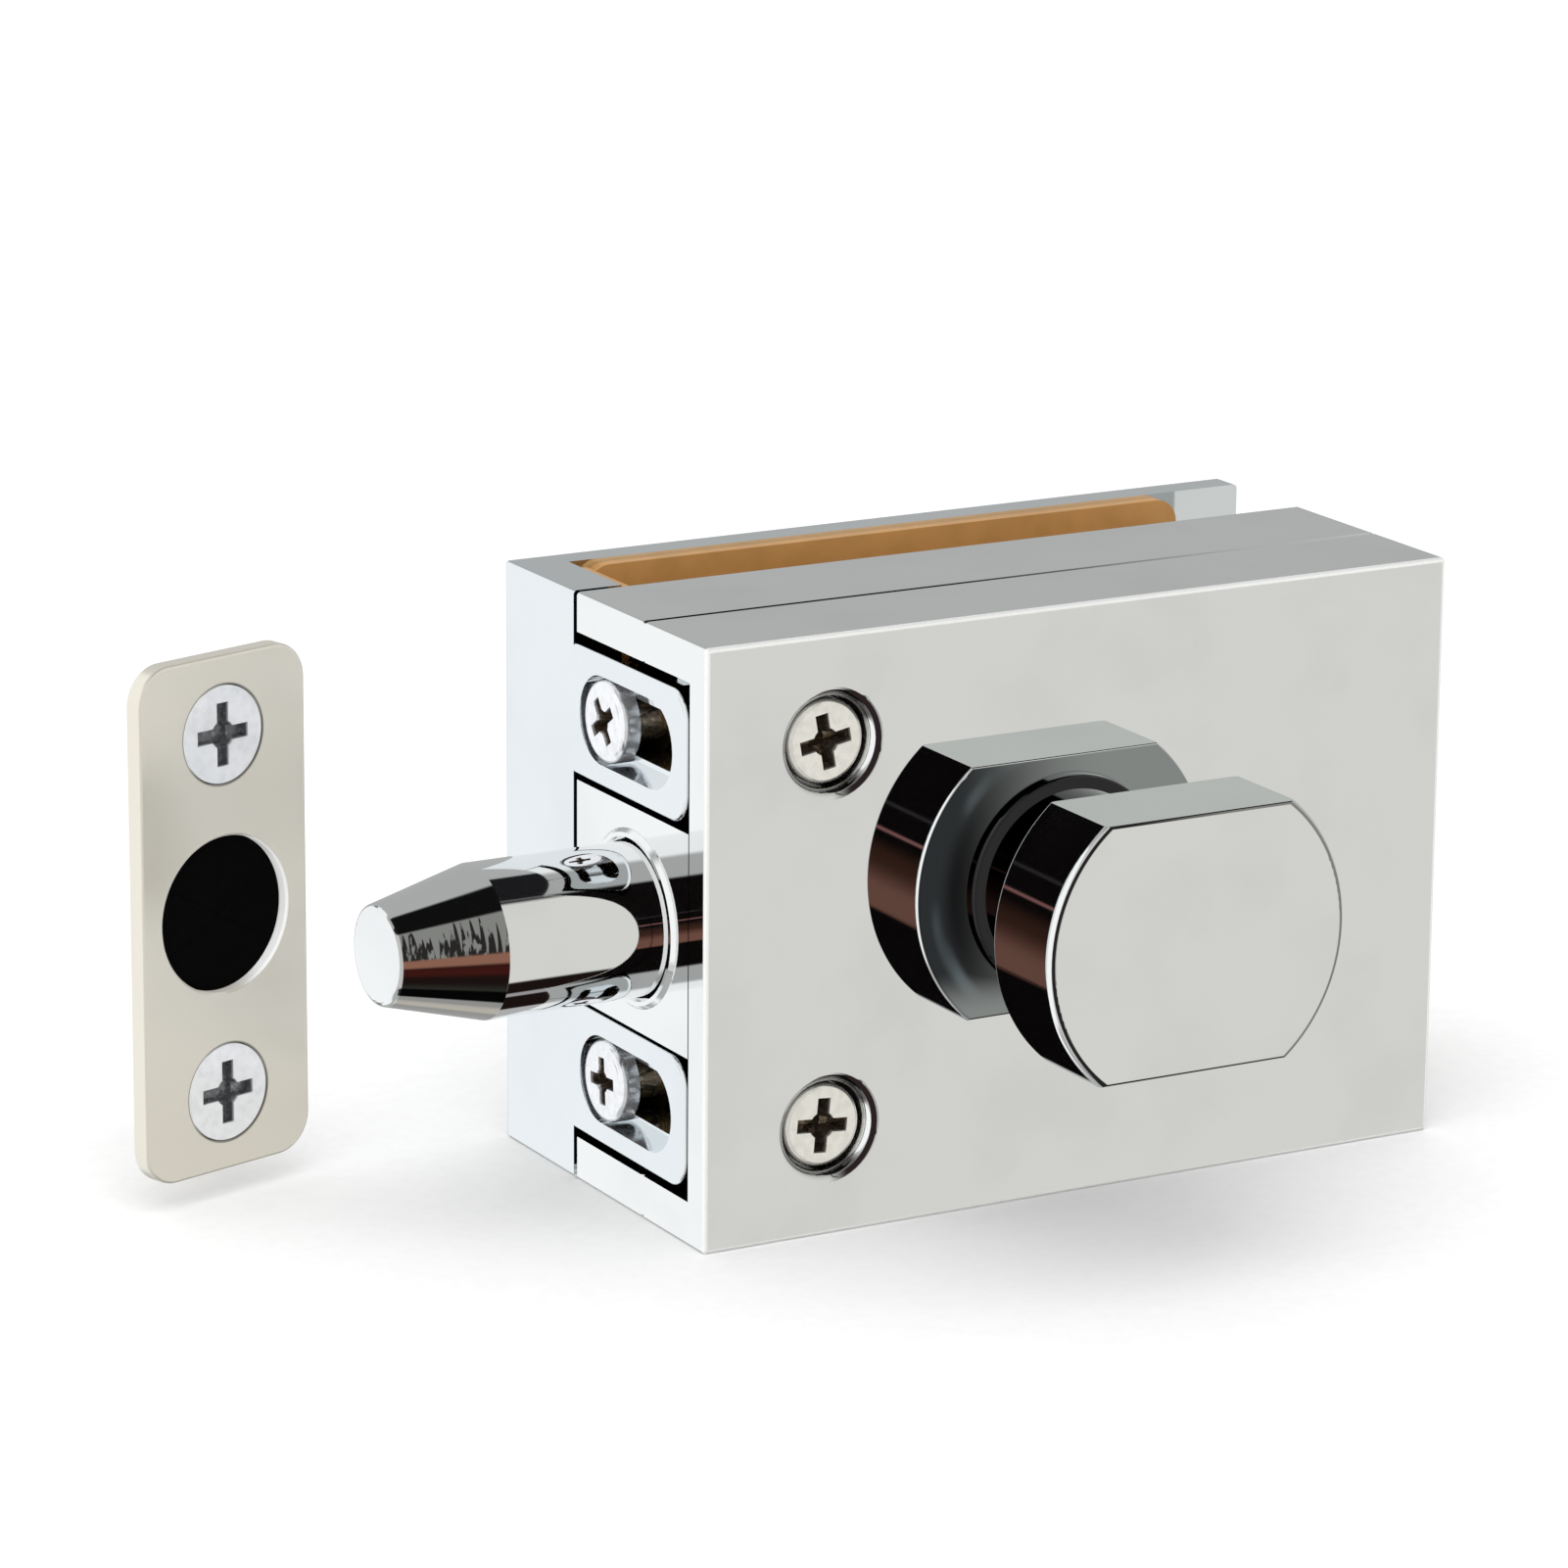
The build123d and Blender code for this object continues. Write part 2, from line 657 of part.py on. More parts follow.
def on_strike(shape):
    """Puts a shape made about the plate's face, looking along +Z, where the strike plate stands."""
    return Pos(*strike_centre) * Rot(0, 0, strike_turn) * Rot(90, 0, 0) * shape


def make_strike_plate():
    plate = extrude(RectangleRounded(strike_width, strike_height, strike_corner), amount=-strike_thickness)
    plate = fillet(plate.faces().sort_by(Axis.Z)[-1].edges(), strike_edge_round)
    plate -= Cylinder(strike_hole_radius, strike_thickness * 3)
    circles = plate.edges().filter_by(GeomType.CIRCLE)
    rim = circles.filter_by(lambda e: abs(e.radius - strike_hole_radius) < 0.01)
    plate = chamfer(rim.group_by(Axis.Z)[-1], strike_hole_chamfer)
    plate -= Pos(0, 0, -strike_thickness) * Cylinder(seal_radius + running_gap, 2 * seal_thickness)
    sink_radius = strike_head_radius + 0.15
    hole_radius = m4_thread + 0.15
    sink_bottom = -0.35 - (sink_radius - hole_radius) * strike_head_slope
    past_plate = -strike_thickness - 1
    sink = [(0, 0.1), (sink_radius, 0.1), (sink_radius, -0.35), (hole_radius, sink_bottom)]
    sink += [(hole_radius, past_plate), (0, past_plate)]
    plate -= [turned_z(sink, y) for y in strike_screw_ys]
    return on_strike(plate)


def make_strike_seal():
    """A thin black disc in the plate's back, cut like a star so that the bolt can push through."""
    disc = Pos(0, 0, -strike_thickness + seal_thickness / 2) * Cylinder(seal_radius, seal_thickness)
    cut = Box(2 * seal_cut_half, seal_cut_width, 3 * strike_thickness)
    for number in range(seal_cuts):
        disc -= Pos(0, 0, -strike_thickness) * Rot(0, 0, 180 * number / seal_cuts) * cut
    return on_strike(disc)


def make_strike_screws():
    recess = cross_recess(5.3, 1.2, 0.8)
    screw = flush_screw(strike_head_radius, m4_thread, strike_screw_length, recess, strike_head_slope)
    return [on_strike(Pos(0, y, -0.05) * screw) for y in strike_screw_ys]


nodes = {
    "front_cover": make_front_cover,
    "housing_block": make_housing_block,
    "rear_cover": make_rear_cover,
    "front_gasket": make_front_gasket,
    "rear_gasket": make_rear_gasket,
    "edge_gasket": make_edge_gasket,
    "clamp_bar": make_clamp_bar,
    "bolt_collar": make_bolt_collar,
    "bolt_guide_bush": make_guide_bush,
    "spindle_bush": make_spindle_bush,
    "clamp_screws": make_clamp_screws,
    "clamp_inserts": make_clamp_inserts,
    "tab_screws": make_tab_screws,
    "tab_inserts": make_tab_inserts,
    "cover_screws": make_cover_screws,
    "locating_dowels": make_dowels,
    "stop_pin": make_stop_pin,
    "turn_knob": make_turn_knob,
    "spindle": make_spindle,
    "knob_grub_screw": make_knob_grub_screw,
    "knob_washer": make_knob_washer,
    "o_ring": make_o_ring,
    "pinion": make_pinion,
    "pinion_screw": make_pinion_screw,
    "deadbolt": make_deadbolt,
    "bolt_rack": make_bolt_rack,
    "rack_screws": make_rack_screws,
    "strike_plate": make_strike_plate,
    "strike_seal": make_strike_seal,
    "strike_screws": make_strike_screws,
}

os.makedirs("parts", exist_ok=True)
for node_name, make in nodes.items():
    made = make()
    solid = Compound(children=list(made)) if isinstance(made, list) else made
    export_step(solid, f"parts/{node_name}.step")
print("bolt travel for half a turn", round(bolt_travel, 3), "mm")
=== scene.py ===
import json
import math

import bmesh
import bpy
from mathutils import Matrix, Vector


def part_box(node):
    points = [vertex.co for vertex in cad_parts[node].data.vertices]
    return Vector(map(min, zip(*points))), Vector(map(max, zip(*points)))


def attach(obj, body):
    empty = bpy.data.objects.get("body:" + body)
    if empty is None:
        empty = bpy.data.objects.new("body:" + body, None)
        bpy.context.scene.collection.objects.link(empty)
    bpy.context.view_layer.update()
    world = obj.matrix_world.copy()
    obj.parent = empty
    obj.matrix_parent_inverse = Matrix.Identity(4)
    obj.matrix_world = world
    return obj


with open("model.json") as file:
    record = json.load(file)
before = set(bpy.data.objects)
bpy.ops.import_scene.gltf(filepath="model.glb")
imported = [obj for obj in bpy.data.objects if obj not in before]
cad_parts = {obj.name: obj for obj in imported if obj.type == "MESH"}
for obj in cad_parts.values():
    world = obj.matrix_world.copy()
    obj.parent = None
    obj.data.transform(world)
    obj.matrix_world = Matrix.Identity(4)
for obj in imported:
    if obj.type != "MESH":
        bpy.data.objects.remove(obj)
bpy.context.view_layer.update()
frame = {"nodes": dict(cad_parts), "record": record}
nodes = frame["nodes"]
mm = 0.001

# The photograph's camera: where it looks from, and its place in metres from the body's front left bottom
# corner, measured along the view and across it.
camera_azimuth = math.radians(-29.24)
camera_elevation = math.radians(14.95)
camera_roll = math.radians(0.46)
camera_distance = 0.5295
camera_right = 0.00645
camera_up = 0.0378
camera_lens_mm = 151.7
sensor_mm = 36.0

front_low, front_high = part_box("front_cover")
front_y = front_low.y
bolt_axis_y = -10.6 * mm
floor_z = front_low.z
clamp_head_top = front_y + 0.85 * mm


class Graph:
    """Builds the nodes of one material or world."""

    def __init__(self, tree):
        self.tree = tree
        tree.nodes.clear()

    def node(self, kind, **settings):
        made = self.tree.nodes.new(kind)
        for name, value in settings.items():
            setattr(made, name, value)
        return made

    def feed(self, value, socket):
        if isinstance(value, bpy.types.NodeSocket):
            self.tree.links.new(value, socket)
        else:
            socket.default_value = value

    def math(self, operation, a, b=0.0):
        made = self.node("ShaderNodeMath", operation=operation)
        self.feed(a, made.inputs[0])
        self.feed(b, made.inputs[1])
        return made.outputs[0]

    def ramp(self, value, low, high, to_low=0.0, to_high=1.0):
        """Goes smoothly from to_low to to_high while value goes from low to high."""
        made = self.node("ShaderNodeMapRange", interpolation_type="SMOOTHSTEP")
        for name, number in (("Value", value), ("From Min", low), ("From Max", high),
                             ("To Min", to_low), ("To Max", to_high)):
            self.feed(number, made.inputs[name])
        return made.outputs["Result"]

    def band(self, value, low, high, soft):
        """1 between low and high, and 0 outside, with soft edges."""
        rise = self.ramp(value, low - soft, low + soft)
        fall = self.ramp(value, high - soft, high + soft, 1.0, 0.0)
        return self.math("MULTIPLY", rise, fall)

    def product(self, *values):
        result = values[0]
        for value in values[1:]:
            result = self.math("MULTIPLY", result, value)
        return result

    def mix(self, share, a, b):
        made = self.node("ShaderNodeMix", data_type="RGBA")
        self.feed(share, made.inputs[0])
        self.feed(a, made.inputs[6])
        self.feed(b, made.inputs[7])
        return made.outputs[2]

    def object_place(self):
        return self.node("ShaderNodeTexCoord").outputs["Object"]

    def parts_of(self, vector):
        made = self.node("ShaderNodeSeparateXYZ")
        self.feed(vector, made.inputs[0])
        return made.outputs["X"], made.outputs["Y"], made.outputs["Z"]

    def vector(self, operation, a, b, output="Vector"):
        made = self.node("ShaderNodeVectorMath", operation=operation)
        self.feed(a, made.inputs[0])
        self.feed(b, made.inputs["Scale"] if operation == "SCALE" else made.inputs[1])
        return made.outputs[output]

    def depth_and_distance(self, place, point, axis):
        """How deep a place lies along the axis from a point, and how far away from that axis."""
        from_point = self.vector("SUBTRACT", place, tuple(point))
        depth = self.vector("DOT_PRODUCT", from_point, tuple(axis), "Value")
        on_axis = self.vector("SCALE", tuple(axis), depth)
        return depth, self.vector("DISTANCE", from_point, on_axis, "Value")

    def stretched(self, vector, x, y, z):
        made = self.node("ShaderNodeMapping")
        self.feed(vector, made.inputs["Vector"])
        made.inputs["Scale"].default_value = (x, y, z)
        return made.outputs["Vector"]

    def noise(self, vector, scale, detail=2.0):
        made = self.node("ShaderNodeTexNoise")
        self.feed(vector, made.inputs["Vector"])
        made.inputs["Scale"].default_value = scale
        made.inputs["Detail"].default_value = detail
        return made.outputs["Fac"]

    def bump(self, height, strength, distance):
        made = self.node("ShaderNodeBump")
        made.inputs["Strength"].default_value = strength
        made.inputs["Distance"].default_value = distance
        self.feed(height, made.inputs["Height"])
        return made.outputs["Normal"]

    def finish_one_sided(self, shader):
        """Shows the shader from the front of the face, and nothing from behind."""
        clear = self.node("ShaderNodeBsdfTransparent")
        both = self.node("ShaderNodeMixShader")
        self.feed(self.node("ShaderNodeNewGeometry").outputs["Backfacing"], both.inputs[0])
        self.feed(shader.outputs[0], both.inputs[1])
        self.feed(clear.outputs[0], both.inputs[2])
        output = self.node("ShaderNodeOutputMaterial")
        self.feed(both.outputs[0], output.inputs["Surface"])


def add_object(name, data):
    made = bpy.data.objects.new(name, data)
    bpy.context.scene.collection.objects.link(made)
    return made


def flat_card(name, corners):
    mesh = bpy.data.meshes.new(name)
    mesh.from_pydata(corners, [], [(0, 1, 2, 3)])
    return add_object(name, mesh)


def start_card_finish(name):
    material = bpy.data.materials.new(name)
    material.use_nodes = True
    g = Graph(material.node_tree)
    return material, g, g.node("ShaderNodeBsdfPrincipled")


def make_camera():
    back = Vector((math.sin(camera_azimuth) * math.cos(camera_elevation),
                   -math.cos(camera_azimuth) * math.cos(camera_elevation),
                   math.sin(camera_elevation)))
    level = Vector((math.cos(camera_azimuth), math.sin(camera_azimuth), 0))
    above = back.cross(level)
    right = math.cos(camera_roll) * level + math.sin(camera_roll) * above
    up = math.cos(camera_roll) * above - math.sin(camera_roll) * level
    place = front_low + camera_right * right + camera_up * up + camera_distance * back
    data = bpy.data.cameras.new("photo_camera")
    data.lens = camera_lens_mm
    data.sensor_width = sensor_mm
    data.clip_start = 0.02
    data.clip_end = 20
    camera = add_object("photo_camera", data)
    camera.matrix_world = Matrix.Translation(place) @ Matrix((right, up, back)).transposed().to_4x4()
    bpy.context.scene.camera = camera


# The studio, as the metal sees it. Each patch is a name, a colour, the ranges of the direction's x, y and z
# that it fills, how soft its edges are, and how far its upper and lower edges wave. Later ones cover earlier.
everywhere = (-2, 2)
studio_back = (0.455, 0.465, 0.462, 1)
studio_patches = [
    ("front dark", (0.004, 0.003, 0.003, 1), everywhere, (-2, -0.30), everywhere, 0.04, 0),
    ("left brown", (0.045, 0.018, 0.012, 1), (-0.60, -0.22), (-2, -0.60), (-0.60, -0.02), 0.07, 0),
    ("brown glow", (0.185, 0.086, 0.064, 1), (-0.56, -0.30), (-2, -0.60), (-0.56, -0.20), 0.10, 0),
    ("below brown", (0.004, 0.003, 0.003, 1), (-0.60, -0.10), (-2, -0.60), (-2, -0.415), 0.01, 0.06),
    ("brown line", (0.26, 0.115, 0.11, 1), (-0.60, -0.40), (-2, -0.60), (0.075, 0.095), 0.01, 0),
    ("grey line", (0.03, 0.027, 0.027, 1), (-0.60, -0.36), (-2, -0.60), (0.24, 0.26), 0.01, 0),
    ("front panel", (0.55, 0.555, 0.54, 1), everywhere, (-2, -0.905), everywhere, 0.01, 0),
    ("front room", (0.60, 0.605, 0.59, 1), (-0.64, 0.31), (-2, -0.30), (-0.90, 0.82), 0.02, 0),
    ("dark overhead", (0.012, 0.012, 0.013, 1), (-0.16, 0.22), (-0.75, 0.10), (0.82, 2), 0.03, 0),
    ("dark ceiling", (0.012, 0.012, 0.014, 1), (0.20, 0.80), (-0.30, 0.36), (0.70, 2), 0.03, 0),
    ("dark below", (0.012, 0.007, 0.006, 1), (0.22, 0.80), (-0.60, 0.30), (-2, -0.70), 0.03, 0),
    ("line below", (0.34, 0.33, 0.33, 1), (0.22, 0.80), (-0.27, -0.17), (-2, -0.70), 0.02, 0),
    ("dark under", (0.030, 0.034, 0.030, 1), (-0.10, 0.24), (-0.45, -0.10), (-2, -0.70), 0.04, 0),
    ("pale under", (0.74, 0.71, 0.65, 1), (0.13, 0.32), (0.12, 0.40), (-2, -0.84), 0.07, 0),
    ("dark right", (0.05, 0.05, 0.05, 1), (0.60, 2), (0.05, 0.75), (-0.70, 0.70), 0.04, 0),
    ("light card", (0.725, 0.725, 0.695, 1), (0.34, 2), (-2, -0.21), (-0.72, 0.82), 0.02, 0),
    ("white left back", (1.02, 1.04, 1.05, 1), (-2, -0.15), (0.30, 2), everywhere, 0.08, 0),
    ("white left", (1.04, 1.05, 1.05, 1), (-2, -0.64), everywhere, everywhere, 0.05, 0),
]
# Some patches show only in what the camera sees in one mirror, and some only in a mirror's mirror image.
only_in_one_mirror = ["front room"]
only_in_two_mirrors = ["left brown", "brown glow", "below brown", "brown line", "grey line", "dark right"]
just_one = 1.4
surely_two = 1.6
paper_white = (1.0, 1.0, 1.0, 1)


def make_studio():
    world = bpy.data.worlds.new("studio")
    world.use_nodes = True
    bpy.context.scene.world = world
    g = Graph(world.node_tree)
    direction = g.node("ShaderNodeTexCoord").outputs["Generated"]
    x, y, z = g.parts_of(direction)
    colour = studio_back
    wave = g.math("SUBTRACT", g.noise(direction, 24.0), 0.5)
    mirrors = g.node("ShaderNodeLightPath").outputs["Glossy Depth"]
    for name, patch_colour, xs, ys, zs, soft, waving in studio_patches:
        height = g.math("ADD", z, g.math("MULTIPLY", wave, waving)) if waving else z
        shares = [g.band(part, low, high, soft) for part, (low, high) in ((x, xs), (y, ys), (height, zs))]
        if name in only_in_one_mirror:
            shares.append(g.ramp(mirrors, surely_two, just_one))
        if name in only_in_two_mirrors:
            shares.append(g.ramp(mirrors, just_one, surely_two))
        colour = g.mix(g.product(*shares), colour, patch_colour)
    seen_by_metal = g.node("ShaderNodeLightPath").outputs["Is Glossy Ray"]
    colour = g.mix(seen_by_metal, paper_white, colour)
    background = g.node("ShaderNodeBackground")
    g.feed(colour, background.inputs["Color"])
    output = g.node("ShaderNodeOutputWorld")
    g.feed(background.outputs[0], output.inputs["Surface"])
    bpy.context.scene.view_settings.view_transform = "Standard"


def make_floor():
    """A pale sheet of paper under the lock, which can't be seen from below or in the metal."""
    size = 3.0
    corners = [(x * size, y * size, floor_z) for x, y in ((-1, -1), (1, -1), (1, 1), (-1, 1))]
    floor = flat_card("floor", corners)
    floor.visible_glossy = False
    material, g, paper = start_card_finish("floor_paper")
    grain = g.noise(g.object_place(), 900.0, 3.0)
    tint = g.mix(g.ramp(grain, 0.3, 0.7), (0.93, 0.93, 0.93, 1), (0.95, 0.95, 0.95, 1))
    g.feed(tint, paper.inputs["Base Color"])
    paper.inputs["Roughness"].default_value = 0.9
    paper.inputs["Specular IOR Level"].default_value = 0.0
    g.finish_one_sided(paper)
    floor.data.materials.append(material)


def make_front_mirror():
    """A mirror card in the plane of the lock's front that only the metal of the knob sees.

    The knob's sides then show the dark room in front of the lock, and not the edges of the cover.
    """
    reach = 0.09
    plane_y = front_y - 0.05 * mm
    left = -reach
    right = front_high.x
    bottom = front_low.z
    top = reach
    corners = [(x, plane_y, z) for x, z in ((left, bottom), (right, bottom), (right, top), (left, top))]
    card = flat_card("front_mirror", corners)
    card.visible_camera = False
    card.visible_diffuse = False
    card.visible_shadow = False
    material, g, mirror = start_card_finish("card_mirror")
    mirror.inputs["Metallic"].default_value = 1.0
    mirror.inputs["Roughness"].default_value = 0.0
    mirror.inputs["Base Color"].default_value = (0.68, 0.715, 0.72, 1)
    g.finish_one_sided(mirror)
    card.data.materials.append(material)


def hide_from_metal():
    """The polished front shows no picture of the knob, and the bolt's end none of the strike."""
    bodies = frame["record"]["behaviour"]["bodies"]
    for name in bodies["knob"] + ["strike_plate", "strike_seal"]:
        nodes[name].visible_glossy = False


def make_softbox():
    """One large soft light above and to the left, for the shadows."""
    data = bpy.data.lights.new("softbox", "AREA")
    data.shape = "RECTANGLE"
    side = 0.9
    data.size = side
    data.size_y = side
    data.energy = 4.0
    light = add_object("softbox", data)
    light.location = (-0.35, -0.45, 0.9)
    light.rotation_euler = (-Vector(light.location)).to_track_quat("-Z", "Y").to_euler()
    light.visible_glossy = False
    light.visible_camera = False


def start_material(name, metallic, base, roughness):
    material = bpy.data.materials.new(name)
    material.use_nodes = True
    g = Graph(material.node_tree)
    shader = g.node("ShaderNodeBsdfPrincipled")
    shader.inputs["Metallic"].default_value = metallic
    g.feed(base, shader.inputs["Base Color"])
    shader.inputs["Roughness"].default_value = roughness
    output = g.node("ShaderNodeOutputMaterial")
    g.feed(shader.outputs[0], output.inputs["Surface"])
    return material, g, shader


chrome_tint = (0.87, 0.875, 0.875, 1)
chrome_haze = (0.83, 0.835, 0.84, 1)

# Sizes and places that the finishes need, in metres, as in the CAD.
edge_width = 0.4 * mm
knob_centre = Vector((0, 0, 4.6)) * mm
rosette_front = front_y - 8.4 * mm
head_back = front_y - 20.1 * mm
collar_radius = 9.0 * mm
knob_radius = 13.55 * mm
knob_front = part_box("turn_knob")[0].y
cone_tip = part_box("deadbolt")[0].x
cone_end = cone_tip + 8.8 * mm
cup_radius = 4.8 * mm
clamp_x = -16.7 * mm
clamp_head_points = [Vector((clamp_x, clamp_head_top, side * 16.0 * mm)) for side in (1, -1)]
tab_head_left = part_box("tab_screws")[0].x
tab_head_points = [Vector((tab_head_left, -5.4 * mm, side * 15.2 * mm)) for side in (1, -1)]
strike_centre = Vector((-55.3, 8.5, -0.9)) * mm
strike_turn = math.radians(16)
into_strike = Vector((-math.sin(strike_turn), math.cos(strike_turn), 0))
strike_head_points = [strike_centre + Vector((0, 0, side * 15.1 * mm)) for side in (1, -1)]
strike_hole_radius = 6.55 * mm
screw_recess_radius = 2.7 * mm
turning_mark_pitch = 0.11 * mm


def polished(name, tint=chrome_tint, haze_tint=chrome_haze):
    """Mirror chrome with a faint haze and the finest of polishing marks."""
    material, g, shader = start_material(name, 1.0, tint, 0.05)
    place = g.object_place()
    haze = g.ramp(g.noise(place, 95.0, 4.0), 0.42, 0.72)
    marks = g.noise(g.stretched(place, 300.0, 300.0, 6000.0), 1.0)
    colour = g.mix(haze, tint, haze_tint)
    g.feed(colour, shader.inputs["Base Color"])
    marked = g.ramp(marks, 0.45, 0.75, 0.0, 0.004)
    roughness = g.math("ADD", g.ramp(haze, 0.0, 1.0, 0.03, 0.05), marked)
    g.feed(roughness, shader.inputs["Roughness"])
    return material, g, shader, place, colour, roughness


def chrome(name, tint=chrome_tint, haze_tint=chrome_haze):
    return polished(name, tint, haze_tint)[0]


def cup_shades(g, place, point):
    """How much a place lies in the painted shade on the left of a clamp screw's cup, and in the dark painted
    reflection on its right lip.
    """
    x, y, z = g.parts_of(place)
    depth, away = g.depth_and_distance(place, Vector((point.x, front_y, point.z)), (0, 1, 0))
    in_cup = g.product(g.ramp(depth, 0.02 * mm, 0.5 * mm), g.ramp(away, 6.5 * mm, 6.2 * mm))
    left = g.product(in_cup, g.ramp(x, point.x + 3 * mm, point.x))
    on_lip = g.ramp(away, cup_radius + 0.4 * mm, cup_radius + 0.3 * mm)
    dark_lip_reflection = g.product(on_lip, g.ramp(x, point.x, point.x + 2 * mm))
    outer = g.band(depth, 0.012 * mm, 0.20 * mm, 0.006 * mm)
    height = g.math("SUBTRACT", z, point.z)
    above_gleam = g.ramp(height, 1.2 * mm, 2.0 * mm)
    below_gleam = g.ramp(height, -2.4 * mm, -3.2 * mm)
    beside_gleam = g.math("MAXIMUM", above_gleam, below_gleam)
    inner = g.product(g.band(depth, 0.20 * mm, 1.2 * mm, 0.02 * mm), beside_gleam, 0.8)
    return left, g.product(dark_lip_reflection, g.math("MAXIMUM", outer, inner))


def front_chrome(name):
    """The front cover's chrome: softer outer edges with a painted highlight, and painted shade and dark
    painted reflections in the cups round the clamp screws.
    """
    cup_shade_grey = (0.30, 0.30, 0.30, 1)
    lip_reflection_brown = (0.040, 0.026, 0.028, 1)
    # Painted highlight on the front's outer edges: whiter, rougher and less metallic there.
    edge_highlight_white = (0.93, 0.93, 0.92, 1)
    edge_roughness = 0.45
    edge_metallic = 0.45
    material, g, shader, place, colour, roughness = polished(name)
    x, y, z = g.parts_of(place)
    near_front = g.ramp(y, front_y + edge_width, front_y + 0.75 * edge_width)
    sides = [(x, front_low.x, 1), (x, front_high.x, -1), (z, front_low.z, 1), (z, front_high.z, -1)]
    near_side = 0.0
    for part, side, inwards in sides:
        close = g.ramp(part, side + inwards * edge_width, side + inwards * 0.75 * edge_width)
        near_side = g.math("MAXIMUM", near_side, close)
    edge = g.product(near_front, near_side)
    # grey gathers the painted shade in the cups, and brown the dark painted reflections on their lips.
    grey = 0.0
    brown = 0.0
    for point in clamp_head_points:
        left, dark_lip_reflection = cup_shades(g, place, point)
        grey = g.math("MAXIMUM", grey, left)
        brown = g.math("MAXIMUM", brown, dark_lip_reflection)
    colour = g.mix(grey, colour, cup_shade_grey)
    colour = g.mix(brown, colour, lip_reflection_brown)
    g.feed(g.mix(edge, colour, edge_highlight_white), shader.inputs["Base Color"])
    rough_edge = g.math("MULTIPLY", edge, edge_roughness)
    g.feed(g.math("MAXIMUM", roughness, rough_edge), shader.inputs["Roughness"])
    g.feed(g.ramp(edge, 0.0, 1.0, 1.0, edge_metallic), shader.inputs["Metallic"])
    return material


def knob_chrome(name):
    """The knob's chrome, with painted shade and blue-grey painted reflections between its two discs, and a
    thin dark painted reflection line round its face.
    """
    # Colours of the painted shade and painted reflections between the discs, darkest by the neck, and of the
    # painted reflection line on the rim.
    groove_shade_near_neck = (0.012, 0.012, 0.013, 1)
    groove_shade_far = (0.034, 0.038, 0.042, 1)
    reflected_streak_blue = (0.13, 0.16, 0.178, 1)
    reflected_grey_right = (0.30, 0.32, 0.32, 1)
    neck_shade_grey = (0.035, 0.034, 0.035, 1)
    rim_reflection_left = (0.03, 0.027, 0.027, 1)
    rim_reflection_right = (0.30, 0.295, 0.29, 1)
    material, g, shader, place, colour, _ = polished(name)
    x, y, z = g.parts_of(place)
    _, radius = g.depth_and_distance(place, knob_centre, (0, 1, 0))
    between = g.band(y, head_back, rosette_front + 0.05 * mm, 0.02 * mm)
    across = g.ramp(radius, collar_radius, knob_radius)
    low_z = knob_centre.z - 6 * mm
    from_left = g.math("MAXIMUM", g.ramp(x, -10.5 * mm, 4 * mm), g.ramp(z, low_z, low_z - 4 * mm))
    reflected_streak = g.band(across, 0.46, 0.76, 0.12)
    reflected_streak = g.product(reflected_streak, g.ramp(g.noise(g.stretched(place, 160.0, 160.0, 60.0), 1.0), 0.35, 0.6))
    dark = g.mix(g.ramp(across, 0.1, 0.7), groove_shade_near_neck, groove_shade_far)
    dark = g.mix(reflected_streak, dark, reflected_streak_blue)
    shade = g.mix(from_left, dark, reflected_grey_right)
    on_disc = g.ramp(radius, collar_radius - 0.2 * mm, collar_radius + 0.2 * mm)
    shade = g.mix(on_disc, neck_shade_grey, shade)
    on_rim = g.band(y, knob_front + 0.006 * mm, knob_front + 0.10 * mm, 0.004 * mm)
    line = g.mix(g.ramp(x, -7 * mm, 5 * mm), rim_reflection_left, rim_reflection_right)
    colour = g.mix(on_rim, colour, line)
    # Between the discs, the painted shade and reflections take the place of the chrome's colour.
    g.feed(g.mix(between, colour, shade), shader.inputs["Base Color"])
    return material


